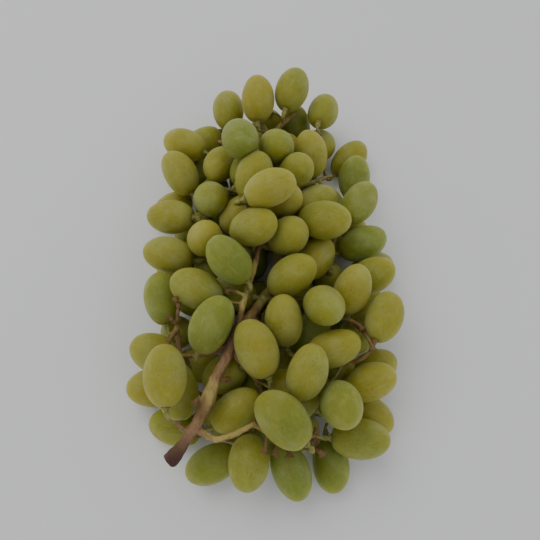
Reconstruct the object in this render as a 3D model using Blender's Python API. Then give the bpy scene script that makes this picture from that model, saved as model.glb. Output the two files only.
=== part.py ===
"""A bunch of seedless green table grapes lying on its side, as it rests on a plate.

The frame: the bunch lies on z = 0 with its origin at the middle of its footprint. +Y runs along
the bunch, away from the cut end of its stalk, and +X runs to its right seen from above.
Every berry is an ovoid. Its stalk end faces the branch that it grew on.
"""

import math
import random

import bmesh
import bpy
import numpy as np
from mathutils import Matrix, Quaternion, Vector
from mathutils.bvhtree import BVHTree

MM = 0.001

# The berries.
BERRY_LENGTH = 24.0 * MM
BERRY_WIDTH = 17.0 * MM
SIZE_SPREAD = 0.06  # how far one berry's size strays from the mean, either way
BERRY_SIDES = 12
BERRY_BANDS = 6
FACET_FULLNESS = 1.03  # lets the flat facets lie half in and half out of the round skin
TRIM_STEP = 0.99  # a berry with too little room is made this much smaller at a time

# The bunch. The places below are drawn on a bunch of this length and width, and follow these two.
BUNCH_LENGTH = 190.0 * MM
BUNCH_WIDTH = 106.0 * MM
DRAWN_LENGTH = 190.0 * MM
DRAWN_WIDTH = 106.0 * MM
LAYER_RISE = 15.0 * MM  # from the middles of one layer of berries to the next
LAYER_SHARES = (0.94, 1.0, 0.8)  # how much of the bunch's width each layer fills, from the plate up
COLUMN_PITCH = 1.09  # from one deep berry to the next across the bunch, in berry widths
EDGE_ROOM = 0.2  # what a row of deep berries leaves free at each end, in berry widths
START_ROOM = 0.93  # the least distance between two berries before the easing, in berry widths
START_JITTER = 1.5 * MM
TURN_JITTER = 0.35
FLATNESS = 0.4  # how far the deep berries keep the up and down part of the way that they face

# The stalk: the main stem, its branches and the short stalk of each berry.
STEM_RADIUS = 2.2 * MM
CUT_END_RADIUS = 2.8 * MM
STEM_TIP_RADIUS = 1.2 * MM
KNOT_RADIUS = 3.1 * MM
BRANCH_RADIUS = 1.5 * MM
BRANCH_TIP_RADIUS = 1.0 * MM
STALK_RADIUS = 0.85 * MM
COLLAR_RADIUS = 1.7 * MM  # the swollen end of a berry's stalk
COLLAR_LENGTH = 1.6 * MM
STALK_STRAIGHT = 4.0 * MM  # the berry's own stalk leaves it straight for this far
LONGEST_STALK = 20.0 * MM
STALK_LEANS = (25, 50)  # degrees that a stalk may lean to find a clear way
STALK_TURNS = 8  # the ways round that it may lean
STALK_BENDS = (0.4, 1.0, 1.6)  # where it may bend, as shares of its straight length
FOOT_SPREAD = 1.1  # how much thicker a stalk is where it leaves the wood
PATH_STEP = 11.0 * MM  # the length of the stem's pieces
FOOT_STEP = 2.0 * MM  # the spacing of the places where a stalk may start
STEM_SIDES = 6
STALK_SIDES = 5
STEM_GRAIN = 0.5 * MM  # the finest detail of the stem's skin
STEM_FINENESS = 0.022  # the share of that skin's triangles that is kept

# Fits.
GAP = 0.4 * MM  # between neighbours that touch
GROUP_GAP = 1.2 * MM  # between two berries of one group that aren't joined to each other
JOINED_BY = 1.8 * MM  # how deep two berries of one group press into each other
PRESSED_BY = 0.6 * MM  # how far a berry's underside is flattened on the plate
STALK_CLEARANCE = 0.6 * MM
WOOD_CLEARANCE = 0.9 * MM
TRIM_ROOM = 1.012  # berries are trimmed until they would be clear at this much larger

JOINED_GROUPS = 19  # the deep berries are joined into this many clusters
REACH = 3.0 * MM  # berries this near each other may be joined
TRIM_REACH = 2.0 * MM  # berries this near each other are compared when they are trimmed
SEED = 11

# The easing, which gives each berry its own room.
EASING_STEPS = 450
FALLING_STEPS = 0.7  # the share of them in which the berries are drawn in and down
FALL = 0.06 * MM  # how far they are drawn at each of those steps
SLOW_FALL = 0.6  # the share of it that moves the upper berries down and the deep ones in
CHOSEN_FREEDOM = 0.3  # how readily an upper berry gives way; a deep one has 1
MOST_PULL = 0.5 * MM
MOST_PUSH = 1.5 * MM
SLIDE_RATE = 1.1
TURN_RATE = 0.6
WOOD_RATE = 0.7
WOOD_STEP = 1.5 * MM  # the spacing of the places on the wood that the berries keep clear of
WOOD_TRIM = 0.8  # the share of the wood's clearance that the trimming insists on
BALL_SHARES = (-1.0, -0.6, 0.0, 0.6, 1.0)  # where the balls that fill a berry lie along it
BALL_REACH = 0.96

SKIN_COLOUR = (0.30, 0.31, 0.06, 1.0)
DEEP_SKIN_COLOUR = (0.20, 0.22, 0.05, 1.0)
STEM_COLOUR = (0.23, 0.13, 0.07, 1.0)

# The berries of the upper side, one by one: the middle (x, y, z in mm), the way the blossom end
# points seen from above (degrees from +X towards +Y), how steeply it points up, and the size.
UPPER_BERRIES = (
    (-5, -46, 40, 90, 4, 1.02),
    (-23, -38, 39, 76, 8, 1.03),
    (5, -71, 40, 115, 2, 1.06),
    (14, -57, 39, 80, 22, 0.98),
    (21, -30, 40, -32, 48, 0.98),
    (6, -35, 37, 100, 35, 0.96),
    (25, -45, 37, 5, 25, 0.98),
    (27, -68, 37, -45, 25, 1.0),
    (43, -32, 36, 82, 12, 0.98),
    (40, -56, 35, 12, 30, 0.96),
    (43, -68, 24, -25, 0, 0.95),
    (36, -79, 34, 8, 12, 1.02),
    (25, -88, 27, -78, 10, 0.95),
    (-8, -88, 35, -95, 30, 0.96),
    (8, -91, 31, -60, 10, 0.97),
    (-23, -88, 24, -125, 12, 0.96),
    (-13, -69, 27, 60, 25, 0.95),
    (-11, -57, 27, 150, -40, 0.93),
    (-31, -62, 27, 92, 15, 0.98),
    (-39, -59, 34, 102, 12, 1.0),
    (-47, -45, 33, 140, 12, 1.0),
    (-46, -22, 36, 95, 15, 1.0),
    (-29, -21, 38, 172, 10, 1.0),
    (9, -16, 37, 62, 12, 1.02),
    (-31, -47, 25, 170, 5, 0.95),
    (-40, -73, 27, 172, 0, 0.98),
    (34, -21, 33, 70, 20, 0.97),
    (-45, -1, 34, 165, 18, 0.97),
    (-45, 18, 34, 178, 10, 0.98),
    (-43, 42, 33, 100, 12, 0.98),
    (-42, 60, 31, 130, 10, 0.97),
    (44, -9, 35, 12, 20, 0.98),
    (42, 5, 33, -5, 28, 0.97),
    (41, 24, 35, 75, 12, 0.98),
    (42, 45, 33, 80, 12, 0.98),
    (41, 62, 31, 50, 10, 0.97),
    (-21, 82, 32, 96, 15, 1.0),
    (11, 85, 33, 62, 12, 1.0),
    (27, 80, 31, 78, 10, 0.98),
    (-6, 78, 35, 90, 20, 0.98),
)

# Half the bunch's width at places along it, in mm: the deep berries fill this outline.
OUTLINE = (
    (-92, 16),
    (-84, 34),
    (-70, 46),
    (-50, 51),
    (0, 51),
    (45, 49),
    (66, 44),
    (80, 34),
    (92, 14),
)

# The main stem, from its cut end: x, y, z in mm, and its radius.
MAIN_STEM = (
    (-37, -88, 33, CUT_END_RADIUS),
    (-32, -82, 35, STEM_RADIUS),
    (-27, -75, 37, STEM_RADIUS),
    (-24, -68, 38, KNOT_RADIUS),
    (-21, -59, 38, STEM_RADIUS),
    (-17, -50, 36, STEM_RADIUS),
    (-13, -38, 33, STEM_RADIUS),
    (-6, -28, 29, STEM_RADIUS),
    (0, -18, 26, STEM_RADIUS),
    (4, 0, 24, STEM_RADIUS),
    (4, 22, 23, STEM_RADIUS),
    (2, 46, 23, STEM_RADIUS),
    (0, 68, 23, STEM_TIP_RADIUS),
)

# The branches, each from a point on the main stem outwards: x, y, z in mm.
BRANCHES = (
    ((-28, -77, 36), (-20, -81, 36), (-13, -79, 36), (-6, -75, 35), (2, -80, 31), (14, -82, 28)),
    ((-14, -40, 33), (-12, -33, 36), (-10, -24, 37), (-7, -14, 36), (-4, 2, 35), (-6, 20, 35)),
    ((-8, -31, 30), (4, -42, 25), (18, -54, 24), (30, -66, 23)),
    ((-2, -22, 27), (14, -22, 25), (30, -30, 25)),
    ((-15, -44, 34), (-24, -47, 31), (-36, -48, 30), (-38, -38, 34), (-37, -29, 37)),
    ((4, 2, 24), (-12, 6, 25), (-30, 10, 25)),
    ((4, 8, 24), (20, 12, 25), (32, 16, 25)),
    ((4, 26, 23), (-12, 32, 24), (-30, 36, 24)),
    ((4, 32, 23), (20, 38, 24), (30, 42, 24)),
    ((2, 48, 23), (-12, 56, 24), (-26, 62, 24)),
    ((2, 52, 23), (16, 60, 24), (26, 66, 24)),
    ((0, 66, 23), (-6, 74, 25), (-12, 80, 26)),
    ((0, 66, 23), (8, 74, 25), (14, 78, 26)),
    ((-24, -66, 38), (-28, -67, 37)),
    ((-30, -80, 35), (-29, -76, 32), (-30, -70, 20), (-28, -60, 16)),
    ((-16, -46, 35), (-6, -56, 28), (-2, -64, 20), (4, -70, 16)),
)


def clear_scene():
    for old in list(bpy.data.objects):
        bpy.data.objects.remove(old, do_unlink=True)


def material(name, colour, roughness):
    made = bpy.data.materials.new(name)
    made.use_nodes = True
    shader = made.node_tree.nodes["Principled BSDF"]
    shader.inputs["Base Color"].default_value = colour
    shader.inputs["Roughness"].default_value = roughness
    shader.inputs["Metallic"].default_value = 0.0
    made.diffuse_color = colour
    return made


def placed(x, y, z):
    """A drawn place in mm, as metres on a bunch of the set length and width."""
    return Vector((x * MM * BUNCH_WIDTH / DRAWN_WIDTH, y * MM * BUNCH_LENGTH / DRAWN_LENGTH, z * MM))


def direction(heading, rise):
    turn, up = math.radians(heading), math.radians(rise)
    return Vector((math.cos(turn) * math.cos(up), math.sin(turn) * math.cos(up), math.sin(up)))


def smooth_path(points, step):
    """Points about a step apart on a smooth curve through the given ones, each (place, radius)."""
    path = []
    last = len(points) - 1
    for i in range(last):
        before, start, end, after = (points[max(0, min(last, i + k))] for k in (-1, 0, 1, 2))
        pieces = max(1, round((end[0] - start[0]).length / step))
        for k in range(pieces):
            t = k / pieces
            place = (
                start[0] * 2
                + (end[0] - before[0]) * t
                + (before[0] * 2 - start[0] * 5 + end[0] * 4 - after[0]) * t ** 2
                + (start[0] * 3 - before[0] - end[0] * 3 + after[0]) * t ** 3
            ) / 2
            path.append((place, start[1] + (end[1] - start[1]) * t))
    path.append(points[last])
    return path


def along(path, spacing):
    """Places on a path, evenly between its points and about the spacing apart, each with its radius."""
    places = []
    for (start, thick), (end, thin) in zip(path, path[1:]):
        pieces = max(1, round((end - start).length / spacing))
        for k in range(pieces):
            places.append((start.lerp(end, k / pieces), thick + (thin - thick) * k / pieces))
    return places + [path[-1]]


def stem_paths():
    """The main stem and its branches, as smooth paths of (place, radius)."""
    paths = [smooth_path([(placed(x, y, z), radius) for x, y, z, radius in MAIN_STEM], PATH_STEP)]
    for route in BRANCHES:
        last = len(route) - 1
        taper = BRANCH_RADIUS - BRANCH_TIP_RADIUS
        points = [(placed(*p), BRANCH_RADIUS - taper * i / last) for i, p in enumerate(route)]
        paths.append(smooth_path(points, PATH_STEP))
    return paths


def half_width(y):
    """Half the drawn bunch's width at a place along it, both in mm."""
    for (y0, w0), (y1, w1) in zip(OUTLINE, OUTLINE[1:]):
        if y0 <= y <= y1:
            return w0 + (w1 - w0) * (y - y0) / (y1 - y0)
    return 0.0


def nearest_on(paths, place):
    return min((p for path in paths for p, _ in path), key=lambda p: (p - place).length)


def berry_starts(paths, draw):
    """Every berry before the easing: (middle, axis, size, layer). Layer 0 lies on the plate."""
    layers = len(LAYER_SHARES)
    starts = []
    for x, y, z, heading, rise, size in UPPER_BERRIES:
        starts.append((placed(x, y, z), direction(heading, rise), size, layers - 1))
    pitch_x = BERRY_WIDTH * COLUMN_PITCH
    pitch_y = (BERRY_LENGTH + BERRY_WIDTH) / 2
    rows = int(BUNCH_LENGTH / pitch_y)
    for layer in reversed(range(layers)):
        height = BERRY_WIDTH / 2 + layer * LAYER_RISE
        for row in range(rows + 1):
            y = (row - rows / 2) * pitch_y + (layer % 2) * pitch_y / 2
            drawn_reach = half_width(y / MM * DRAWN_LENGTH / BUNCH_LENGTH) * LAYER_SHARES[layer]
            reach = drawn_reach * MM * BUNCH_WIDTH / DRAWN_WIDTH - BERRY_WIDTH * EDGE_ROOM
            count = int(reach * 2 / pitch_x + 0.5)
            for column in range(count):
                x = (column - (count - 1) / 2) * pitch_x
                jitter = Vector([draw.uniform(-START_JITTER, START_JITTER) for _ in range(3)])
                middle = Vector((x, y, height)) + jitter
                size = 1.0 + draw.uniform(-SIZE_SPREAD, SIZE_SPREAD)
                if any((middle - other[0]).length < BERRY_WIDTH * START_ROOM for other in starts):
                    continue
                out = middle - nearest_on(paths, middle)
                out = Vector((out.x, out.y, out.z * FLATNESS)).normalized()
                out += Vector([draw.uniform(-TURN_JITTER, TURN_JITTER) for _ in range(3)])
                starts.append((middle, out.normalized(), size, layer))
    return starts


class Berries:
    """All the berries' middles, axes and sizes, and the rule that eases them apart."""

    def __init__(self, starts, paths):
        self.middle = np.array([s[0] for s in starts])
        self.axis = np.array([s[1] for s in starts])
        self.size = np.array([s[2] for s in starts])
        self.layer = np.array([s[3] for s in starts])
        self.count = len(starts)
        self.home = self.middle.copy()
        chosen = np.arange(self.count) < len(UPPER_BERRIES)
        self.freedom = np.where(chosen, CHOSEN_FREEDOM, 1.0)
        wood = [point for path in paths for point in along(path, WOOD_STEP)]
        self.wood = np.array([place for place, _ in wood])
        self.wood_radius = np.array([radius for _, radius in wood])
        self.gaps = np.full((self.count, self.count), GAP)
        self.linked = np.zeros((self.count, self.count), bool)

    def halves(self):
        return self.size * BERRY_LENGTH / 2, self.size * BERRY_WIDTH / 2

    def mesh(self, i):
        return berry_mesh(self.middle[i], self.axis[i], self.size[i])

    def balls(self):
        """The balls that fill each berry and one round its stalk: offsets, places and radii."""
        half_length, half_width_ = self.halves()
        spread = half_length ** 2 - half_width_ ** 2
        offsets = []
        radii = []
        for share in BALL_SHARES:
            offset = share * BALL_REACH * spread / half_length
            offsets.append(offset)
            radii.append(half_width_ * np.sqrt(1 - offset ** 2 / spread))
        offsets.append(-(half_length + COLLAR_LENGTH))
        radii.append(np.full(self.count, COLLAR_RADIUS))
        offsets = np.stack(offsets, 1)
        places = self.middle[:, None, :] + offsets[:, :, None] * self.axis[:, None, :]
        return offsets, places, np.stack(radii, 1)

    def deepest(self, stalks_too=True):
        """For each two berries, how deep they press together, and the direction and offset there."""
        offsets, places, radii = self.balls()
        if not stalks_too:
            offsets, places, radii = offsets[:, :-1], places[:, :-1], radii[:, :-1]
        balls = offsets.shape[1]
        flat = places.reshape(-1, 3)
        apart = flat[:, None, :] - flat[None, :, :]
        distance = np.sqrt((apart ** 2).sum(2)) + 1e-12
        depth = radii.reshape(-1)[:, None] + radii.reshape(-1)[None, :] - distance
        depth = depth.reshape(self.count, balls, self.count, balls)
        if stalks_too:
            depth[:, -1, :, -1] = -1.0
            joined = self.linked[:, None, :]
            depth[:, -1, :, :] = np.where(joined.transpose(0, 2, 1), -1.0, depth[:, -1, :, :])
            depth[:, :, :, -1] = np.where(joined, -1.0, depth[:, :, :, -1])
        depth = depth.transpose(0, 2, 1, 3).reshape(self.count, self.count, -1)
        best = depth.argmax(2)
        first, second = best // balls, best % balls
        rows = np.arange(self.count)
        worst = np.take_along_axis(depth, best[:, :, None], 2)[:, :, 0]
        a = places[rows[:, None], first]
        b = places[rows[None, :], second]
        way = a - b
        way /= np.linalg.norm(way, axis=2, keepdims=True) + 1e-12
        return worst, way, offsets[rows[:, None], first]

    def ease(self, steps):
        """Moves and turns the berries a little at a time until each has its own room."""
        for step in range(steps):
            worst, way, offset = self.deepest()
            push = np.where(self.linked, worst + self.gaps, np.maximum(worst + self.gaps, 0))
            np.fill_diagonal(push, 0)
            share = self.freedom[:, None] / (self.freedom[:, None] + self.freedom[None, :])
            push = np.clip(push, -MOST_PULL, MOST_PUSH)
            touching = np.maximum((np.abs(push) > 0).sum(1), 1)
            share = np.where(self.linked, 0.5, share)
            force = (push * share)[:, :, None] * way
            lever = (BERRY_LENGTH / 3) ** 2
            slide = (force * (lever / (lever + offset ** 2))[:, :, None]).sum(1)
            swing = (force * (offset / (lever + offset ** 2))[:, :, None]).sum(1)
            rate = (1 / np.sqrt(touching))[:, None]
            self.middle += slide * rate * SLIDE_RATE
            self.axis += swing * rate * SLIDE_RATE * TURN_RATE
            self.clear_wood()
            self.settle(FALL if step < steps * FALLING_STEPS else 0.0)
            self.axis /= np.linalg.norm(self.axis, axis=1, keepdims=True)
            self.middle = np.round(self.middle, 8)
            self.axis = np.round(self.axis, 7)

    def clear_wood(self):
        """Moves each berry off the stem and its branches."""
        _, places, radii = self.balls()
        for k in range(len(BALL_SHARES)):
            apart = places[:, k, None, :] - self.wood[None, :, :]
            distance = np.sqrt((apart ** 2).sum(2)) + 1e-12
            depth = radii[:, k, None] + self.wood_radius[None, :] + WOOD_CLEARANCE - distance
            near = depth.argmax(1)
            rows = np.arange(self.count)
            push = np.maximum(depth[rows, near], 0) * WOOD_RATE / distance[rows, near]
            self.middle += apart[rows, near] * push[:, None]

    def settle(self, fall):
        """Draws the berries down and the deep ones in, and keeps every berry on or over the plate."""
        half_length, half_width_ = self.halves()
        up = self.axis[:, 2]
        below = np.sqrt((half_length * up) ** 2 + half_width_ ** 2 * (1 - up ** 2))
        deep = self.freedom > CHOSEN_FREEDOM
        self.middle[:, 2] -= np.where(deep, fall, fall * SLOW_FALL)
        for axis in (0, 1):
            inward = np.sign(self.middle[:, axis]) * fall * SLOW_FALL
            homeward = np.clip(self.middle[:, axis] - self.home[:, axis], -fall, fall)
            self.middle[:, axis] -= np.where(deep, inward, homeward)
        lifted = np.maximum(self.middle[:, 2], below)
        self.middle[:, 2] = np.where(self.layer == 0, below - PRESSED_BY, lifted)

    def join_groups(self):
        """Shares the deep berries out into clusters of neighbours, and links each to its nearest."""
        worst, _, _ = self.deepest(stalks_too=False)
        worst = np.round(worst, 7)
        near = worst > -REACH
        left = set(range(len(UPPER_BERRIES), self.count))
        groups = []
        while left and len(groups) < JOINED_GROUPS:
            target = math.ceil(len(left) / (JOINED_GROUPS - len(groups)))
            group = [min(left, key=lambda i: (sum(near[i][j] for j in left), i))]
            left.remove(group[0])
            while left and len(group) < target:
                depth, i, j = max((worst[i][j], i, j) for i in left for j in group)
                if depth < -REACH:
                    break
                left.remove(i)
                group.append(i)
                self.link(i, j)
            groups.append(group)
        for i in sorted(left):
            _, j = max((worst[i][j], j) for group in groups for j in group)
            next(group for group in groups if j in group).append(i)
            self.link(i, j)
        for group in groups:
            for i in group:
                for j in group:
                    if i != j and not self.linked[i, j]:
                        self.gaps[i, j] = GROUP_GAP
        return groups

    def link(self, i, j):
        self.linked[i, j] = self.linked[j, i] = True
        self.gaps[i, j] = self.gaps[j, i] = -JOINED_BY

    def crossed(self, places, room):
        """For each berry, whether any of the places lies inside it or within its room of the skin."""
        half_length, half_width_ = self.halves()
        apart = places[:, None, :] - self.middle[None, :, :]
        along_axis = (apart * self.axis[None, :, :]).sum(2)
        across = np.sqrt(np.maximum((apart ** 2).sum(2) - along_axis ** 2, 0))
        room = np.broadcast_to(room, len(places))[:, None]
        return ((along_axis / (half_length + room)) ** 2 + (across / (half_width_ + room)) ** 2 < 1).any(0)

    def trim(self):
        """Takes a little off any berry that still crosses the wood or one that it isn't joined to."""
        worst, _, _ = self.deepest(stalks_too=False)
        close = np.triu((worst > -TRIM_REACH) & ~self.linked, 1)
        near = list(zip(*np.nonzero(close)))
        while True:
            roomy = zip(self.middle, self.axis, self.size * TRIM_ROOM)
            skins = [BVHTree.FromBMesh(berry_mesh(*berry)) for berry in roomy]
            near = [(i, j) for i, j in near if skins[i].overlap(skins[j])]
            tight = self.crossed(self.wood, self.wood_radius + WOOD_CLEARANCE * WOOD_TRIM)
            for i in {k for pair in near for k in pair}:
                tight[i] = True
            if not tight.any():
                return
            self.size = np.where(tight, self.size * TRIM_STEP, self.size)


def berry_mesh(middle, axis, size):
    """An oval berry in flat facets, cut flat where it rests on the plate."""
    mesh = bmesh.new()
    half_length = size * FACET_FULLNESS * BERRY_LENGTH / 2
    half_width_ = size * FACET_FULLNESS * BERRY_WIDTH / 2
    turn = Vector(axis).to_track_quat("Z", "Y").to_matrix().to_4x4()
    stand = Matrix.Translation(Vector(middle)) @ turn
    rings = []
    for band in range(1, BERRY_BANDS):
        angle = math.pi * band / BERRY_BANDS
        radius = half_width_ * math.sin(angle)
        height = -half_length * math.cos(angle)
        ring = []
        for side in range(BERRY_SIDES):
            around = math.tau * (side + band % 2 / 2) / BERRY_SIDES
            place = Vector((radius * math.cos(around), radius * math.sin(around), height))
            ring.append(mesh.verts.new(stand @ place))
        rings.append(ring)
    ends = [mesh.verts.new(stand @ Vector((0, 0, height))) for height in (-half_length, half_length)]
    for side in range(BERRY_SIDES):
        after = (side + 1) % BERRY_SIDES
        mesh.faces.new((ends[0], rings[0][after], rings[0][side]))
        mesh.faces.new((ends[1], rings[-1][side], rings[-1][after]))
        for band, (low, high) in enumerate(zip(rings, rings[1:])):
            # Every other ring is half a side round from the one before.
            if band % 2:
                mesh.faces.new((low[side], low[after], high[side]))
                mesh.faces.new((low[after], high[after], high[side]))
            else:
                mesh.faces.new((low[side], low[after], high[after]))
                mesh.faces.new((low[side], high[after], high[side]))
    if min(v.co.z for v in mesh.verts) < 0:
        everything = mesh.verts[:] + mesh.edges[:] + mesh.faces[:]
        cut = bmesh.ops.bisect_plane(
            mesh, geom=everything, plane_co=(0, 0, 0), plane_no=(0, 0, 1), clear_inner=True
        )
        rim = [e for e in cut["geom_cut"] if isinstance(e, bmesh.types.BMEdge)]
        bmesh.ops.contextual_create(mesh, geom=rim)
    bmesh.ops.recalc_face_normals(mesh, faces=mesh.faces[:])
    return mesh


def tube(path, sides):
    """A closed tapered tube along a path of (place, radius)."""
    mesh = bmesh.new()
    rings = []
    side_way = None
    last = len(path) - 1
    for i, (place, radius) in enumerate(path):
        ahead = (path[min(i + 1, last)][0] - path[max(i - 1, 0)][0]).normalized()
        if side_way is None:
            side_way = ahead.orthogonal().normalized()
        side_way = (side_way - ahead * side_way.dot(ahead)).normalized()
        other = ahead.cross(side_way)
        ring = []
        for side in range(sides):
            around = math.tau * side / sides
            out = side_way * math.cos(around) + other * math.sin(around)
            ring.append(mesh.verts.new(place + out * radius))
        rings.append(ring)
    for low, high in zip(rings, rings[1:]):
        for side in range(sides):
            after = (side + 1) % sides
            mesh.faces.new((low[side], low[after], high[after], high[side]))
    mesh.faces.new(rings[0][::-1])
    mesh.faces.new(rings[-1])
    return mesh


def to_object(name, mesh, look):
    data = bpy.data.meshes.new(name)
    mesh.to_mesh(data)
    mesh.free()
    data.materials.append(look)
    data.shade_smooth()
    made = bpy.data.objects.new(name, data)
    bpy.context.scene.collection.objects.link(made)
    return made


def helper(name, mesh, look, shelf):
    """A shape that only a Boolean uses."""
    made = to_object(name, mesh, look)
    bpy.context.scene.collection.objects.unlink(made)
    shelf.objects.link(made)
    made.hide_render = True
    made.display_type = "WIRE"
    return made


def united(name, meshes, look):
    """One named object: the first mesh, with the others joined to it by a Boolean union."""
    whole = to_object(name, meshes[0], look)
    if len(meshes) > 1:
        shelf = bpy.data.collections.new(name + "_pieces")
        bpy.context.scene.collection.children.link(shelf)
        for i, mesh in enumerate(meshes[1:]):
            helper(f"{name}_piece_{i + 1:02d}", mesh, look, shelf)
        union = whole.modifiers.new("Join", "BOOLEAN")
        union.operation = "UNION"
        union.operand_type = "COLLECTION"
        union.collection = shelf
        union.solver = "MANIFOLD"
    return whole


def grown_together(name, meshes, look):
    """One named object: overlapping tubes made one skin, with their joints rounded."""
    whole = bmesh.new()
    for mesh in meshes:
        copied = {vert: whole.verts.new(vert.co) for vert in mesh.verts}
        for face in mesh.faces:
            whole.faces.new([copied[vert] for vert in face.verts])
        mesh.free()
    made = to_object(name, whole, look)
    skin = made.modifiers.new("One skin", "REMESH")
    skin.mode = "VOXEL"
    skin.voxel_size = STEM_GRAIN
    thin = made.modifiers.new("Thin out", "DECIMATE")
    thin.ratio = STEM_FINENESS
    return made


class Stalks:
    """The short stalks that run from the wood to the berries."""

    def __init__(self, berries, paths):
        self.berries = berries
        self.wood = [point for path in paths for point in along(path, FOOT_STEP)[1:-1]]
        self.paths = []
        reach = berries.halves()[0] * FACET_FULLNESS + STALK_CLEARANCE
        ends = berries.middle - berries.axis * reach[:, None]
        self.ends = [Vector(end) for end in ends]

    def blocked(self, start, end):
        """True where a stalk from start to end would touch a berry or the plate."""
        room = STALK_RADIUS + STALK_CLEARANCE
        steps = max(2, math.ceil((end - start).length / MM))
        t = np.linspace(0, 1, steps + 1)[:, None]
        bar = np.array(start) * (1 - t) + np.array(end) * t
        return bool((bar[:, 2] < room).any() or self.berries.crossed(bar, room).any())

    def grow(self):
        """Gives each berry that the wood can reach its stalk, the nearest berries first.

        A berry that it can't reach stays held by its neighbours.
        """
        waiting = list(range(self.berries.count))
        grown = True
        while grown:
            grown = False
            for i in sorted(waiting, key=self.distance):
                route = self.route(i)
                if route:
                    self.paths.append(route)
                    self.wood.append(((route[-2][0] + route[-1][0]) / 2, STALK_RADIUS))
                    waiting.remove(i)
                    grown = True

    def distance(self, i):
        return round(min((p - self.ends[i]).length for p, _ in self.wood), 7)

    def route(self, i):
        """The shortest clear way for berry i's stalk: straight out, or leaning to one side."""
        end = self.ends[i]
        out = Vector(self.berries.axis[i]) * -1
        collar = end + out * COLLAR_LENGTH
        side = out.orthogonal().normalized()
        ways = [out]
        for lean in STALK_LEANS:
            for turn in range(STALK_TURNS):
                aside = side.copy()
                aside.rotate(Quaternion(out, math.tau * turn / STALK_TURNS))
                ways.append((out + aside * math.tan(math.radians(lean))).normalized())
        found = None
        for way in ways:
            for share in STALK_BENDS:
                straight = STALK_STRAIGHT * share
                bend = collar + way * straight
                if self.blocked(collar, bend):
                    break
                feet = [(round((p - bend).length, 7), k) for k, (p, _) in enumerate(self.wood)]
                for length, k in sorted(feet):
                    whole = length + straight
                    if whole > (found[0] if found else LONGEST_STALK):
                        break
                    if not self.blocked(bend, self.wood[k][0]):
                        found = (whole, k, bend)
                        break
        if not found:
            return None
        foot = self.wood.pop(found[1])[0]
        return [(end, COLLAR_RADIUS), (found[2], STALK_RADIUS), (foot, STALK_RADIUS * FOOT_SPREAD)]


def centre_footprint(berries):
    """Hangs every object on one empty that puts the middle of the bunch's footprint at the origin."""
    skins = [berries.mesh(i) for i in range(berries.count)]
    corners = [vert.co for skin in skins for vert in skin.verts]
    hub = bpy.data.objects.new("bunch", None)
    bpy.context.scene.collection.objects.link(hub)
    for made in bpy.data.objects:
        if made is not hub:
            made.parent = hub
    for axis in (0, 1):
        places = [corner[axis] for corner in corners]
        hub.location[axis] = -(min(places) + max(places)) / 2


def build():
    clear_scene()
    draw = random.Random(SEED)
    skin = material("grape_skin", SKIN_COLOUR, 0.45)
    deep_skin = material("grape_skin_deep", DEEP_SKIN_COLOUR, 0.5)
    bark = material("grape_stem", STEM_COLOUR, 0.75)
    paths = stem_paths()
    berries = Berries(berry_starts(paths, draw), paths)
    berries.ease(EASING_STEPS)
    groups = berries.join_groups()
    berries.ease(EASING_STEPS)
    berries.trim()
    for i in range(len(UPPER_BERRIES)):
        to_object(f"berry_{i + 1:02d}", berries.mesh(i), skin)
    for k, group in enumerate(groups):
        united(f"deep_berries_{k + 1:02d}", [berries.mesh(i) for i in group], deep_skin)
    stalks = Stalks(berries, paths)
    stalks.grow()
    tubes = [tube(path, STEM_SIDES) for path in paths]
    tubes += [tube(path, STALK_SIDES) for path in stalks.paths]
    grown_together("stem", tubes, bark)
    centre_footprint(berries)


build()
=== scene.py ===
"""The looks of a bunch of green table grapes that lies on a pale table, seen from above its cut stem."""

import math
import random

import bmesh
import bpy
import numpy as np
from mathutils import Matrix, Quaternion, Vector


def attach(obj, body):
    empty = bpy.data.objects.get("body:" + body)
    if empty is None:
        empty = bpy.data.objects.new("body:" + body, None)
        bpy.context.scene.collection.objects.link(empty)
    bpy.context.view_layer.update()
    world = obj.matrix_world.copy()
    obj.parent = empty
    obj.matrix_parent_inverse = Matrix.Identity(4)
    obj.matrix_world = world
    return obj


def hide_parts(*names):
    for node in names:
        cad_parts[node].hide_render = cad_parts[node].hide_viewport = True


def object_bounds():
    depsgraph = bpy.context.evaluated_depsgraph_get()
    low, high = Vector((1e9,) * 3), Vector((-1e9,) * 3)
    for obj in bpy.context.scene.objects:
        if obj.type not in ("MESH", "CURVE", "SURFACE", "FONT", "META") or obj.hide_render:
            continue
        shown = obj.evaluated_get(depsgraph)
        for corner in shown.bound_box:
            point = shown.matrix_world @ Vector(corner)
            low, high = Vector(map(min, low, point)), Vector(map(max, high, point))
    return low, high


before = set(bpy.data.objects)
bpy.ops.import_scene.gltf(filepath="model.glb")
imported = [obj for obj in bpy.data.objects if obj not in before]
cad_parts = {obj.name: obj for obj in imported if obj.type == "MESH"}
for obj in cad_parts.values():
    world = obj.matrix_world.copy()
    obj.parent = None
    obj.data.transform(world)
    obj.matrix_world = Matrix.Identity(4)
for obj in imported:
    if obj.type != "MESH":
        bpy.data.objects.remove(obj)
cad_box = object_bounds()

MM = 0.001
SEED = 7

# One grape, before it is copied and stretched to each berry's own size.
GRAPE_LENGTH = 24.0 * MM
GRAPE_WIDTH = 17.0 * MM
GRAPE_SEGMENTS = 32
GRAPE_RINGS = 22
DIMPLE_DEPTH = 0.9 * MM  # where the stalk meets the berry
DIMPLE_REACH = 4.0 * MM
SCAR_DEPTH = 0.25 * MM  # the dry dot at the blossom end
SCAR_REACH = 1.6 * MM
LUMPINESS = 0.012  # how far a berry strays from a perfect oval, as a share of its width
SKIN_GAP = 0.04 * MM  # between two berries that press together

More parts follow.
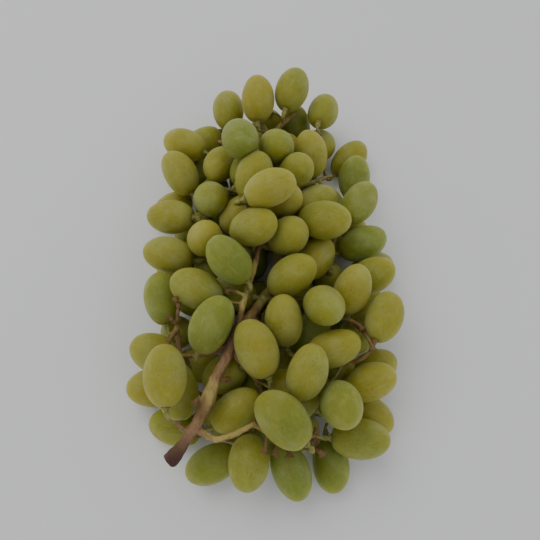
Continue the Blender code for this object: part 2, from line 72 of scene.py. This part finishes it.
CREASE = -0.02  # an edge that folds inwards more than this, in radians, is a crease between two berries
FEWEST_CORNERS = 14  # a patch with fewer clean corners than this is no berry
ABOVE_TABLE = 0.02 * MM  # corners under this height belong to a berry's flattened underside
PRESS_STEPS = 14  # how often the search for a pressed skin's place is halved

FACET_FULLNESS = 1.03  # the CAD berries' corners stand this much outside a berry's round skin
SLIMNESS = (0.93, 1.0)  # a berry's width is a share between these of its CAD berry's
TONE = (0.5, 0.24)  # the mean ripeness, from green at 0 to straw at 1, and how far it strays

# The stem.
STEM_GRAIN = 0.4 * MM
STEM_SWELL = 0.12 * MM  # the finer skin stands this far outside the CAD stem
RIDGE_HEIGHT = 0.08 * MM
KNOB_SWELL = 0.9 * MM  # the cut end has dried into a knob
KNOB_REACH = 8.0 * MM
STALK_RADIUS = 0.8 * MM
STALK_ROOM = 0.5 * MM  # between an added stalk and the berries that it passes
LONGEST_STALK = 18.0 * MM
STALK_FOUND = 2.2 * MM  # wood this near to a berry's end is a stalk of its own
FOOT_SKIP = 5  # of the places on the wood, nearest first, one in this many is tried as a foot,
MOST_FEET = 160  # and no more than this many
STUB_LENGTHS = (7.0, 4.5, 2.5)  # in mm, tried in turn where no foot can be reached
STALK_STEPS = 8  # the pieces of a curved stalk
STUB_STEPS = 4
CUP_RADIUS = 1.75 * MM  # the swollen end of a stalk, where a berry sits
CUP_LENGTH = 2.6 * MM
# The cup's rings from the neck up, over the rim and down into the dish: the rise to each as a share of
# the cup's length, and how much wider it is than the one before.
CUP_RINGS = ((0.20, 1.35), (0.16, 1.30), (0.13, 1.22), (0.11, 1.0), (0.02, 0.84), (-0.10, 0.72), (0.05, 0.5))
GREEN_REACH = 7.5 * MM  # the wood turns green this near to a berry,
DARK_REACH = 12.0 * MM  # dark this near to the cut end
DRY_REACH = 6.5 * MM  # and brown this near to the tip of a bare stalk

# Stalks that have lost their berries: where they leave the wood and where they end, in mm.
BARE_STALKS = (
    ((-25.0, -64.5, 38.5), (-27.0, -66.4, 43.2)),
    ((-19.5, -56.5, 37.5), (-15.6, -55.4, 34.0)),
    ((-36.8, -32.0, 36.8), (-39.8, -31.0, 38.0)),
    ((-37.0, -38.5, 35.5), (-39.6, -41.0, 36.5)),
    ((-36.1, -27.5, 37.0), (-37.6, -23.6, 38.6)),
    ((-0.5, -76.0, 32.5), (-1.2, -82.6, 34.8)),
    ((2.5, -77.0, 31.5), (2.6, -83.6, 35.2)),
    ((6.0, -78.0, 30.5), (8.2, -84.0, 33.4)),
    ((14.4, -78.6, 28.3), (19.4, -78.6, 31.2)),
    ((14.9, -79.0, 28.0), (20.8, -82.8, 29.8)),
    ((13.0, -78.0, 28.6), (18.8, -74.0, 31.6)),
    ((-9.5, -21.0, 37.0), (-16.6, -19.4, 36.4)),
    ((30.9, -27.1, 25.0), (38.4, -35.6, 34.2)),
    ((34.0, -31.0, 29.0), (42.0, -43.6, 33.6)),
)

# Where the stem is straw-coloured and where it is pink: the middle of the patch and its reach, in mm.
STRAW_PATCHES = (((-9.0, -17.0, 38.0), 13.0), ((-23.0, -61.0, 40.0), 6.5), ((-14.0, -77.0, 38.0), 10.0))
PINK_PATCHES = (((-16.0, -46.0, 39.0), 15.0), ((0.0, -16.0, 28.0), 9.0), ((-29.0, -76.0, 37.0), 7.0))

# The camera looks down on the bunch from beyond its cut stem.
CAMERA_TILT = 67.0  # degrees down from level
CAMERA_HEIGHT = 203.0 * MM  # over the middles of the upper berries
CAMERA_AIM = Vector((0.9, -10.6, 38.0)) * MM
LENS = 35.3
SENSOR = 36.0  # with the lens, in mm
CLIP_START = 0.01

TABLE_SIZE = 6.0
TABLE_DROP = 0.05 * MM  # keeps the table's top clear of the berries' flat undersides


# ---------------------------------------------------------------- shader expressions


class Wire:
    """One output of a shader node, used like a number: an expression on it adds its Math nodes."""

    def __init__(self, paint, socket):
        self.paint = paint
        self.socket = socket

    def math(self, operation, *others, swap=False):
        values = [self, *others]
        if swap:
            values.reverse()
        inputs = dict(enumerate(values))
        return self.paint.node("ShaderNodeMath", {"operation": operation}, inputs)

    def __add__(self, other):
        return self.math("ADD", other)

    def __radd__(self, other):
        return self.math("ADD", other, swap=True)

    def __sub__(self, other):
        return self.math("SUBTRACT", other)

    def __rsub__(self, other):
        return self.math("SUBTRACT", other, swap=True)

    def __mul__(self, other):
        return self.math("MULTIPLY", other)

    def __rmul__(self, other):
        return self.math("MULTIPLY", other, swap=True)


class Paint:
    """A material and the short ways of adding nodes to it."""

    def __init__(self, name):
        self.material = bpy.data.materials.new(name)
        self.material.use_nodes = True
        self.tree = self.material.node_tree
        self.shader = self.tree.nodes["Principled BSDF"]

    def set(self, sockets, inputs):
        for key, value in inputs.items():
            if isinstance(value, Wire):
                self.tree.links.new(value.socket, sockets[key])
            else:
                sockets[key].default_value = value

    def node(self, kind, settings, inputs, output=0):
        made = self.tree.nodes.new(kind)
        for key, value in settings.items():
            setattr(made, key, value)
        self.set(made.inputs, inputs)
        return Wire(self, made.outputs[output])

    def finish(self, sockets):
        """Sets the shader's own sockets and hands over the material."""
        self.set(self.shader.inputs, sockets)
        return self.material

    def places(self):
        return self.node("ShaderNodeTexCoord", {}, {}, "Object")

    def attribute(self, name, output="Fac"):
        return self.node("ShaderNodeAttribute", {"attribute_name": name}, {}, output)

    def stretched(self, vector, scale):
        return self.node("ShaderNodeMapping", {}, {"Vector": vector, "Scale": scale})

    def noise(self, vector, scale, detail=3.0, roughness=0.55, distortion=0.0):
        inputs = {
            "Vector": vector, "Scale": scale, "Detail": detail,
            "Roughness": roughness, "Distortion": distortion,
        }
        return self.node("ShaderNodeTexNoise", {}, inputs, "Fac")

    def cells(self, vector, scale):
        return self.node("ShaderNodeTexVoronoi", {}, {"Vector": vector, "Scale": scale}, "Distance")

    def step(self, value, low, high, out_low=0.0, out_high=1.0):
        """A smooth step from out_low to out_high as the value goes from low to high."""
        inputs = {0: value, 1: low, 2: high, 3: out_low, 4: out_high}
        return self.node("ShaderNodeMapRange", {"interpolation_type": "SMOOTHSTEP"}, inputs)

    def mix(self, factor, first, second, blend="MIX"):
        settings = {"data_type": "RGBA", "blend_type": blend}
        return self.node("ShaderNodeMix", settings, {0: factor, 6: first, 7: second}, 2)

    def bump(self, height, strength, distance):
        inputs = {"Height": height, "Strength": strength, "Distance": distance}
        self.set(self.shader.inputs, {"Normal": self.node("ShaderNodeBump", {}, inputs, "Normal")})


# ---------------------------------------------------------------- materials


def grape_skin():
    """Waxy, slightly see-through skin: olive green to straw, with pale veins, specks and bloom."""
    paint = Paint("grape_skin")
    place = paint.places()
    skin = paint.attribute("skin_place", "Vector")
    tone = paint.attribute("tone")
    along = paint.attribute("along")
    ripe_patch = paint.noise(place, 55.0, 2.0)
    ripe = paint.step(tone + (ripe_patch - 0.5) * 0.9, 0.0, 1.0)
    flesh = paint.mix(ripe, (0.232, 0.275, 0.058, 1), (0.375, 0.338, 0.060, 1))
    veins = paint.noise(paint.stretched(skin, (4.2, 4.2, 1.0)), 2.4, 4.0, 0.62, 0.35)
    vein = paint.step(veins, 0.52, 0.70)
    flesh = paint.mix(vein * 0.22, flesh, (0.48, 0.48, 0.18, 1))
    net = paint.noise(paint.stretched(skin, (9.0, 9.0, 2.2)), 3.0, 3.0, 0.6)
    flesh = paint.mix(paint.step(net, 0.30, 0.50, 0.42, 0.0), flesh, (0.17, 0.185, 0.02, 1))
    cloud = paint.noise(place, 240.0, 4.0, 0.6)
    flesh = paint.mix(paint.step(cloud, 0.50, 0.74) * 0.22, flesh, (0.50, 0.49, 0.18, 1))
    specks = 1.0 - paint.step(paint.cells(place, 620.0), 0.10, 0.22)
    sparse = paint.step(paint.noise(place, 130.0, 1.0), 0.50, 0.60)
    flesh = paint.mix(specks * sparse * 0.62, flesh, (0.15, 0.10, 0.03, 1))
    bloom = paint.step(paint.noise(place, 85.0, 5.0, 0.65, 0.4), 0.42, 0.72)
    flesh = paint.mix(bloom * 0.20, flesh, (0.50, 0.56, 0.36, 1))
    stalk_end = 1.0 - paint.step(along, -0.985, -0.80)
    flesh = paint.mix(stalk_end * 0.5, flesh, (0.36, 0.33, 0.10, 1))
    ring = 1.0 - paint.step(along, -0.998, -0.965)
    flesh = paint.mix(ring * 0.85, flesh, (0.085, 0.052, 0.022, 1))
    scar = paint.step(along, 0.9925, 0.9985)
    flesh = paint.mix(scar * 0.9, flesh, (0.075, 0.045, 0.020, 1))
    rough = 0.42 + bloom * 0.16 + cloud * 0.08 + scar * 0.3
    paint.bump(cloud * 0.5 + veins * 0.5 + specks * sparse * 0.3, 0.35, 0.00022)
    return paint.finish({
        "Base Color": flesh,
        "Roughness": rough,
        "Subsurface Weight": 1.0,
        "Subsurface Radius": (1.0, 0.88, 0.16),
        "Subsurface Scale": 0.020,
        "Subsurface Anisotropy": 0.7,
        "IOR": 1.36,
        "Specular IOR Level": 0.32,
        "Coat Weight": 0.06,
        "Coat Roughness": 0.22,
    })


def grape_wood():
    """Stem skin: tan, pink-brown or straw, green near the berries, dark at the cut and in the cups."""
    paint = Paint("grape_wood")
    place = paint.places()
    green = paint.attribute("green")
    cut = paint.attribute("cut")
    broad = paint.noise(place, 110.0, 3.0, 0.6, 0.5)
    fine = paint.noise(place, 420.0, 4.0, 0.62)
    patch = (broad - 0.5) * 1.1
    wood = paint.mix(paint.step(broad, 0.34, 0.66), (0.215, 0.128, 0.048, 1), (0.365, 0.255, 0.088, 1))
    pink = paint.step(paint.attribute("pink") + patch, 0.15, 0.75)
    wood = paint.mix(pink * 0.85, wood, (0.325, 0.185, 0.098, 1))
    straw = paint.step(paint.attribute("straw") + patch, 0.15, 0.75)
    wood = paint.mix(straw * 0.85, wood, (0.480, 0.370, 0.118, 1))
    young = paint.mix(paint.step(fine, 0.35, 0.65), (0.215, 0.225, 0.050, 1), (0.400, 0.360, 0.120, 1))
    wood = paint.mix(paint.step(green + patch * 0.6, 0.25, 0.8), wood, young)
    grain = paint.noise(paint.stretched(place, (1.0, 0.32, 1.0)), 900.0, 5.0, 0.65)
    seams = 1.0 - paint.step(grain, 0.34, 0.50)
    wood = paint.mix(seams * 0.50, wood, (0.120, 0.066, 0.034, 1))
    warts = 1.0 - paint.step(paint.cells(place, 640.0), 0.10, 0.26)
    wood = paint.mix(warts * 0.30, wood, (0.46, 0.35, 0.15, 1))
    dry = paint.step(paint.attribute("dry") + patch * 0.5, 0.1, 0.8)
    wood = paint.mix(dry * 0.80, wood, (0.185, 0.100, 0.042, 1))
    wood = paint.mix(cut * 0.94, wood, (0.078, 0.034, 0.030, 1))
    wood = paint.mix(paint.attribute("dark") * 0.80, wood, (0.080, 0.044, 0.020, 1))
    paint.bump(grain * 0.6 + warts * 0.3 + fine * 0.5, 0.6, 0.0003)
    return paint.finish({
        "Base Color": wood,
        "Roughness": 0.58 + seams * 0.22,
        "Specular IOR Level": 0.22,
        "Subsurface Weight": 0.12,
        "Subsurface Radius": (1.0, 0.6, 0.3),
        "Subsurface Scale": 0.0015,
    })


def table_top():
    """A plain pale top with the faintest mottle."""
    paint = Paint("table_top")
    mottle = paint.noise(paint.places(), 9.0, 4.0)
    top = paint.mix(mottle, (0.90, 0.90, 0.89, 1), (0.94, 0.94, 0.93, 1))
    return paint.finish({"Base Color": top, "Roughness": 0.7 + mottle * 0.1})


# ---------------------------------------------------------------- reading the frame


class Berry:
    """A berry's place: its middle, the way its blossom end points, half its length and half its width."""

    def __init__(self, middle, axis, half_length, half_width):
        self.middle = middle
        self.axis = axis
        self.half_length = half_length
        self.half_width = half_width

    def depth(self, points):
        """1 on the berry's skin, less inside it and more outside."""
        apart = points - self.middle
        along = apart @ self.axis
        across = np.sqrt(np.maximum((apart ** 2).sum(1) - along ** 2, 0))
        return np.hypot(along / self.half_length, across / self.half_width)


def merged(node):
    """A CAD node's mesh with its loose triangles joined."""
    mesh = bmesh.new()
    mesh.from_mesh(node.data)
    bmesh.ops.remove_doubles(mesh, verts=mesh.verts[:], dist=1e-6)
    return mesh


def oval_through(points):
    """The oval whose skin the points lie on, by least squares."""
    centre = points.mean(0)
    scale = GRAPE_LENGTH / 2
    x, y, z = ((points - centre) / scale).T
    terms = np.stack([x * x, y * y, z * z, 2 * x * y, 2 * x * z, 2 * y * z, 2 * x, 2 * y, 2 * z], 1)
    q = np.linalg.lstsq(terms, np.ones(len(points)), rcond=None)[0]
    shape = np.array([[q[0], q[3], q[4]], [q[3], q[1], q[5]], [q[4], q[5], q[2]]])
    shift = -np.linalg.solve(shape, q[6:9])
    size = 1 + shift @ shape @ shift
    values, ways = np.linalg.eigh(shape / size)
    halves = scale / np.sqrt(np.maximum(values, 1e-6))
    length = float(halves[0]) / FACET_FULLNESS
    width = float(halves[1] + halves[2]) / 2 / FACET_FULLNESS
    return Berry(centre + shift * scale, ways[:, 0], length, width)


def berries_in(node):
    """The berries that a CAD node holds. Where two are joined, the crease is the only concave edge."""
    mesh = merged(node)
    creases = {e for e in mesh.edges if len(e.link_faces) == 2 and e.calc_face_angle_signed() < CREASE}
    left = set(mesh.faces)
    found = []
    for start in mesh.faces:
        if start not in left:
            continue
        left.remove(start)
        patch = [start]
        for face in patch:
            for edge in face.edges:
                for other in edge.link_faces:
                    if edge not in creases and other in left:
                        left.remove(other)
                        patch.append(other)
        verts = {v for face in patch for v in face.verts}
        clean = [v.co[:] for v in verts if v.co.z > ABOVE_TABLE and not creases.intersection(v.link_edges)]
        if len(clean) >= FEWEST_CORNERS:
            found.append(oval_through(np.array(sorted(clean))))
    mesh.free()
    return found


def face_the_stem(berry, wood):
    """Turns the berry's axis so that it runs from the stalk end to the blossom end."""
    ends = [berry.middle + side * berry.axis * berry.half_length for side in (1, -1)]
    near = [((wood - end) ** 2).sum(1).min() for end in ends]
    if near[0] < near[1]:
        berry.axis = -berry.axis


# ---------------------------------------------------------------- modelling helpers


def points_of(mesh, name="co"):
    """The points of a mesh, or another vector that each of them has, as rows."""
    values = np.empty(len(mesh.vertices) * 3)
    mesh.vertices.foreach_get(name, values)
    return values.reshape(-1, 3)


def set_points(mesh, places):
    mesh.vertices.foreach_set("co", np.asarray(places, np.float32).reshape(-1))
    mesh.update()


def new_object(name, mesh):
    made = bpy.data.objects.new(name, mesh)
    bpy.context.scene.collection.objects.link(made)
    return made


def start_on(made):
    bpy.ops.object.select_all(action="DESELECT")
    made.select_set(True)
    bpy.context.view_layer.objects.active = made


def pick(made, test):
    """Selects, in edit mode, the points that pass the test."""
    mesh = bmesh.from_edit_mesh(made.data)
    mesh.select_mode = {"VERT"}
    for vert in mesh.verts:
        vert.select = test(vert.co)
    mesh.select_flush_mode()
    bmesh.update_edit_mesh(made.data)


def joined(first, others):
    """The first object with the others joined into it."""
    start_on(first)
    for other in others:
        other.select_set(True)
    if others:
        bpy.ops.object.join()
    return first


def model_grape(skin_paint):
    """One grape standing on its stalk end: an oval with a dimple below and a dry dot on top."""
    bpy.ops.object.select_all(action="DESELECT")
    bpy.ops.mesh.primitive_uv_sphere_add(
        segments=GRAPE_SEGMENTS, ring_count=GRAPE_RINGS, radius=GRAPE_WIDTH / 2
    )
    grape = bpy.context.object
    start_on(grape)
    tip = GRAPE_LENGTH / 2
    bpy.ops.object.mode_set(mode="EDIT")
    bpy.ops.mesh.select_all(action="SELECT")
    bpy.ops.transform.resize(value=(1, 1, GRAPE_LENGTH / GRAPE_WIDTH))
    for sign, depth, reach in ((-1, DIMPLE_DEPTH, DIMPLE_REACH), (1, SCAR_DEPTH, SCAR_REACH)):
        pick(grape, lambda place: place.z * sign > tip * 0.9999)
        bpy.ops.transform.translate(
            value=(0, 0, -sign * depth),
            use_proportional_edit=True,
            proportional_edit_falloff="SMOOTH",
            proportional_size=reach,
        )
    bpy.ops.object.mode_set(mode="OBJECT")
    smooth = grape.modifiers.new("Smooth", "SUBSURF")
    smooth.levels = smooth.render_levels = 1
    bpy.ops.object.modifier_apply(modifier="Smooth")
    grape.data.shade_smooth()
    grape.data.materials.append(skin_paint)
    return grape


def add_attribute(mesh, name, kind, values):
    made = mesh.attributes.new(name, kind, "POINT")
    key = "vector" if kind == "FLOAT_VECTOR" else "value"
    made.data.foreach_set(key, np.asarray(values, np.float32).reshape(-1))


# ---------------------------------------------------------------- the berries


class Grapes:
    """Copies of the modelled grape, each stretched to its berry and pressed against its neighbours."""

    def __init__(self, grape, berries, draw):
        self.grape = grape
        self.points = points_of(grape.data) / (GRAPE_WIDTH / 2, GRAPE_WIDTH / 2, GRAPE_LENGTH / 2)
        self.berries = berries
        self.draw = draw

    def neighbours(self, berry):
        reach = berry.half_length
        return [
            other for other in self.berries
            if other is not berry
            and np.linalg.norm(other.middle - berry.middle) < reach + other.half_length
        ]

    def shaped(self, berry):
        """The berry's points, and its skin's own coordinates."""
        draw = self.draw
        turn = Vector(berry.axis).to_track_quat("Z", "Y") @ Quaternion((0, 0, 1), draw.uniform(0, math.tau))
        phases = [draw.uniform(0, math.tau) for _ in range(5)]
        x, y, z = self.points.T
        lumps = (
            np.sin(2.3 * x + 1.1 * z + phases[0])
            + np.sin(2.7 * y - 0.9 * z + phases[1])
            + 0.6 * np.sin(4.1 * z + 1.7 * x + phases[2])
        )
        fuller = 1 + LUMPINESS * lumps + 0.025 * draw.uniform(-1, 1) * z
        shape = np.stack([x * fuller, y * fuller, z], 1)
        lean = 0.05 * np.array([math.cos(phases[3]), math.sin(phases[3])])
        shape[:, :2] += lean * (z[:, None] ** 2 - 0.4)
        size = np.array([berry.half_width, berry.half_width, berry.half_length])
        places = (shape * size) @ np.array(turn.to_matrix()).T + berry.middle
        self.press(places, berry)
        around = np.arctan2(y, x)
        skin = np.stack([np.cos(around), np.sin(around), z], 1) + [draw.uniform(0, 50) for _ in range(3)]
        return places, skin

    def press(self, places, berry):
        """Flattens the skin where a neighbour or the table presses on it."""
        for other in self.neighbours(berry):
            inside = np.nonzero(other.depth(places) < berry.depth(places))[0]
            if not len(inside):
                continue
            out = places[inside] - berry.middle
            low = np.zeros(len(inside))
            high = np.ones(len(inside))
            for _ in range(PRESS_STEPS):
                share = (low + high) / 2
                spot = berry.middle + out * share[:, None]
                deeper = other.depth(spot) < berry.depth(spot)
                high = np.where(deeper, share, high)
                low = np.where(deeper, low, share)
            places[inside] = berry.middle + out * (low - SKIN_GAP / berry.half_width)[:, None]
        places[:, 2] = np.maximum(places[:, 2], cad_box[0][2])

    def piece(self, name, berries):
        """One object that holds the given berries, each a copy of the modelled grape."""
        copies = []
        for berry in berries:
            places, skin = self.shaped(berry)
            copy = new_object(name, self.grape.data.copy())
            set_points(copy.data, places)
            add_attribute(copy.data, "along", "FLOAT", self.points[:, 2])
            add_attribute(copy.data, "skin_place", "FLOAT_VECTOR", skin)
            add_attribute(copy.data, "tone", "FLOAT", np.full(len(places), self.draw.gauss(*TONE)))
            copies.append(copy)
        return joined(copies[0], copies[1:])


# ---------------------------------------------------------------- the stem


def model_cup():
    """The end of a stalk, pointing up: a neck that swells to a warty rim with a dark dished middle."""
    bpy.ops.object.select_all(action="DESELECT")
    bpy.ops.mesh.primitive_cylinder_add(
        vertices=12, radius=STALK_RADIUS, depth=CUP_LENGTH * 0.4, location=(0, 0, -CUP_LENGTH * 0.8)
    )
    cup = bpy.context.object
    start_on(cup)
    bpy.ops.object.transform_apply(location=True)
    top = -CUP_LENGTH * 0.6
    bpy.ops.object.mode_set(mode="EDIT")
    pick(cup, lambda place: place.z > top - 0.01 * MM)
    for rise, width in CUP_RINGS:
        bpy.ops.mesh.extrude_region_move(TRANSFORM_OT_translate={"value": (0, 0, rise * CUP_LENGTH)})
        bpy.ops.transform.resize(value=(width, width, 1), center_override=(0, 0, 0))
    bpy.ops.object.mode_set(mode="OBJECT")
    smooth = cup.modifiers.new("Smooth", "SUBSURF")
    smooth.levels = smooth.render_levels = 2
    bpy.ops.object.modifier_apply(modifier="Smooth")
    return cup


def bent(start, way, end):
    """Places on a stalk that leaves start along the way and curves over to end."""
    control = start + way * (end - start).length * 0.5
    return [
        start * (1 - t) ** 2 + control * 2 * t * (1 - t) + end * t ** 2
        for t in (k / STALK_STEPS for k in range(STALK_STEPS + 1))
    ]


def stalk_tube(places, radius):
    """A stalk drawn as a round curve through the places, thicker at its foot, as a mesh."""
    curve = bpy.data.curves.new("stalk", "CURVE")
    curve.dimensions = "3D"
    curve.bevel_depth = radius
    curve.bevel_resolution = 2
    curve.use_fill_caps = True
    line = curve.splines.new("POLY")
    line.points.add(len(places) - 1)
    for k, (point, place) in enumerate(zip(line.points, places)):
        point.co = (*place, 1)
        point.radius = 1 + 0.5 * max(0, k / (len(places) - 1) - 0.7)
    made = new_object("stalk", curve)
    start_on(made)
    bpy.ops.object.convert(target="MESH")
    return bpy.context.object


class Stem:
    """The stem with a fine skin, the stalks that the CAD stem leaves out, and a cup on every stalk."""

    def __init__(self, node, berries, draw):
        self.berries = berries
        self.draw = draw
        mesh = merged(node)
        data = bpy.data.meshes.new("bunch_stem")
        mesh.to_mesh(data)
        mesh.free()
        self.made = new_object("bunch_stem", data)
        self.wood = points_of(data)
        self.cut_end = self.wood[self.wood[:, 1].argmin()]

    def blocked(self, places, near):
        """True where a stalk through the places would press into a berry other than the one near."""
        places = np.array(places)
        if places[:, 2].min() < STALK_RADIUS:
            return True
        for berry in self.berries:
            room = 1 + (STALK_RADIUS + STALK_ROOM) / berry.half_width
            if berry is not near and berry.depth(places).min() < room:
                return True
        return False

    def missing_stalk(self, berry):
        """A clear way from a berry with no stalk to the wood, or a short stub, or None."""
        end = Vector(berry.middle - berry.axis * (berry.half_length + CUP_LENGTH * 0.5))
        out = Vector(-berry.axis)
        apart = np.sqrt(((self.wood - end) ** 2).sum(1))
        if apart.min() < STALK_FOUND:
            return None
        order = np.argsort(apart, kind="stable")
        near = [k for k in order[::FOOT_SKIP] if apart[k] < LONGEST_STALK]
        for k in near[:MOST_FEET]:
            places = bent(end, out, Vector(self.wood[k]))
            if not self.blocked(places[1:-1], berry):
                return places
        for length in STUB_LENGTHS:
            places = [end + out * length * MM * k / STUB_STEPS for k in range(STUB_STEPS + 1)]
            if not self.blocked(places[1:], berry):
                return places
        return None

    def cup_at(self, cup, tip, way, size):
        """A copy of the cup at a stalk's tip, with warts of its own."""
        copy = new_object("cup", cup.data.copy())
        turn = way.to_track_quat("Z", "Y") @ Quaternion((0, 0, 1), self.draw.uniform(0, math.tau))
        places = points_of(copy.data)
        x, y, z = (places / MM).T
        phase = self.draw.uniform(0, math.tau)
        around = np.arctan2(y, x)
        wide = np.hypot(x, y) * MM / CUP_RADIUS
        warts = np.sin(5 * around + phase) + 0.7 * np.sin(9 * around - 2 * phase + z)
        grown = 1 + 0.09 * warts * np.clip(wide, 0, 1)
        shape = np.stack([places[:, 0] * grown, places[:, 1] * grown, places[:, 2]], 1) * size
        shape[:, 2] += 0.10 * MM * warts * wide
        set_points(copy.data, shape @ np.array(turn.to_matrix()).T + np.array(tip))
        rim = np.clip((z * MM / CUP_LENGTH + 0.12) * 7, 0, 1)
        add_attribute(copy.data, "dark", "FLOAT", rim * (0.75 + 0.25 * np.sin(3 * around + phase)))
        return copy

    def build(self, wood_paint):
        cup = model_cup()
        stalks = []
        cups = []
        for berry in self.berries:
            places = self.missing_stalk(berry)
            if places:
                stalks.append(stalk_tube(places, STALK_RADIUS))
            tip = Vector(berry.middle - berry.axis * (berry.half_length - 0.7 * MM))
            cups.append(self.cup_at(cup, tip, Vector(berry.axis), self.draw.uniform(0.92, 1.08)))
        for foot, tip in BARE_STALKS:
            foot = Vector(foot) * MM
            tip = Vector(tip) * MM
            start = Vector(self.wood[((self.wood - foot) ** 2).sum(1).argmin()])
            sag = Vector((self.draw.uniform(-1, 1), self.draw.uniform(-1, 1), 1.2)).normalized()
            places = bent(tip, (start - tip).normalized() * 0.6 + sag * 0.5, start)
            stalks.append(stalk_tube(places, STALK_RADIUS * 0.95))
            way = (tip - places[1]).normalized()
            cups.append(self.cup_at(cup, tip, way, self.draw.uniform(0.85, 1.1)))
        bpy.data.objects.remove(cup)
        joined(self.made, stalks)
        start_on(self.made)
        for name, kind, settings in (
            ("Skin", "REMESH", {"mode": "VOXEL", "voxel_size": STEM_GRAIN}),
            ("Round", "SMOOTH", {"factor": 0.5, "iterations": 5}),
        ):
            modifier = self.made.modifiers.new(name, kind)
            for key, value in settings.items():
                setattr(modifier, key, value)
            bpy.ops.object.modifier_apply(modifier=name)
        self.roughen()
        add_attribute(self.made.data, "dark", "FLOAT", np.zeros(len(self.made.data.vertices)))
        joined(self.made, cups)
        self.colour()
        data = self.made.data
        data.materials.clear()
        data.materials.append(wood_paint)
        data.shade_smooth()
        return self.made

    def roughen(self):
        """Swells the skin a little, with soft ridges and knobs."""
        data = self.made.data
        places = points_of(data)
        x, y, z = (places / MM).T
        ridges = (
            np.sin(2.1 * x + 0.5 * y + 1.3 * np.sin(0.5 * z))
            + np.sin(1.9 * z - 0.4 * y + 1.1 * np.sin(0.45 * x))
            + 0.7 * np.sin(0.9 * y + 1.2 * np.sin(0.8 * x))
        )
        from_cut = np.sqrt(((places - self.cut_end) ** 2).sum(1))
        knob = KNOB_SWELL * np.clip(1 - from_cut / KNOB_REACH, 0, 1)
        swell = STEM_SWELL + RIDGE_HEIGHT * ridges + knob
        set_points(data, places + points_of(data, "normal") * swell[:, None])

    def colour(self):
        """Marks where the wood is green, dark at the cut, straw-coloured, pink and dry."""
        data = self.made.data
        places = points_of(data)

        def nearness(place, reach):
            apart = np.sqrt(((places - place) ** 2).sum(1))
            return np.clip(1.25 - apart / reach, 0, 1)

        green = np.zeros(len(places))
        for berry in self.berries:
            green = np.maximum(green, nearness(berry.middle - berry.axis * berry.half_length, GREEN_REACH))
        add_attribute(data, "green", "FLOAT", green)
        add_attribute(data, "cut", "FLOAT", nearness(self.cut_end, DARK_REACH))
        dry_patches = [(tip, DRY_REACH / MM) for _, tip in BARE_STALKS]
        for name, patches in (("straw", STRAW_PATCHES), ("pink", PINK_PATCHES), ("dry", dry_patches)):
            marks = [nearness(np.array(middle) * MM, reach * MM) for middle, reach in patches]
            add_attribute(data, name, "FLOAT", np.max(marks, 0))


# ---------------------------------------------------------------- the studio


def add_table():
    bpy.ops.object.select_all(action="DESELECT")
    bpy.ops.mesh.primitive_plane_add(size=TABLE_SIZE, location=(0, 0, cad_box[0][2] - TABLE_DROP))
    table = bpy.context.object
    table.name = "table"
    table.data.materials.append(table_top())


def add_light(name, place, size, power, colour):
    light = bpy.data.lights.new(name, "AREA")
    light.shape = "DISK"
    light.size = size
    light.energy = power
    light.color = colour
    made = bpy.data.objects.new(name, light)
    bpy.context.scene.collection.objects.link(made)
    made.location = place
    made.rotation_euler = Vector(place).to_track_quat("Z", "Y").to_euler()


def add_studio():
    world = bpy.data.worlds.new("studio")
    bpy.context.scene.world = world
    world.use_nodes = True
    sky = world.node_tree.nodes["Background"]
    sky.inputs["Color"].default_value = (0.93, 0.95, 1.0, 1)
    sky.inputs["Strength"].default_value = 0.55
    add_light("key", (-0.35, 0.30, 0.95), 0.8, 2.8, (1.0, 0.97, 0.92))
    add_light("fill", (0.7, -0.5, 0.8), 0.9, 0.8, (0.93, 0.96, 1.0))


def add_camera():
    camera = bpy.data.objects.new("camera", bpy.data.cameras.new("camera"))
    bpy.context.scene.collection.objects.link(camera)
    tilt = math.radians(CAMERA_TILT)
    away = Vector((0, -math.cos(tilt), math.sin(tilt)))
    camera.location = CAMERA_AIM + away * CAMERA_HEIGHT / math.sin(tilt)
    camera.rotation_euler = (math.pi / 2 - tilt, 0, 0)
    camera.data.lens = LENS
    camera.data.sensor_width = SENSOR
    camera.data.clip_start = CLIP_START
    bpy.context.scene.camera = camera


# ---------------------------------------------------------------- the build


def build():
    draw = random.Random(SEED)
    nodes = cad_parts
    wood = np.array([v.co[:] for v in nodes["stem"].data.vertices])
    holders = {name: berries_in(nodes[name]) for name in sorted(nodes) if name != "stem"}
    berries = [berry for held in holders.values() for berry in held]
    for berry in berries:
        face_the_stem(berry, wood)
        berry.half_width *= draw.uniform(*SLIMNESS)
    grape = model_grape(grape_skin())
    grapes = Grapes(grape, berries, draw)
    for name, held in holders.items():
        piece = grapes.piece(name.replace("berry", "grape").replace("berries", "grapes"), held)
        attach(piece, "root")
        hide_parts(name)
    bpy.data.objects.remove(grape)
    stem = Stem(nodes["stem"], berries, draw).build(grape_wood())
    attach(stem, "root")
    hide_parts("stem")


build()
add_table()
add_studio()
add_camera()
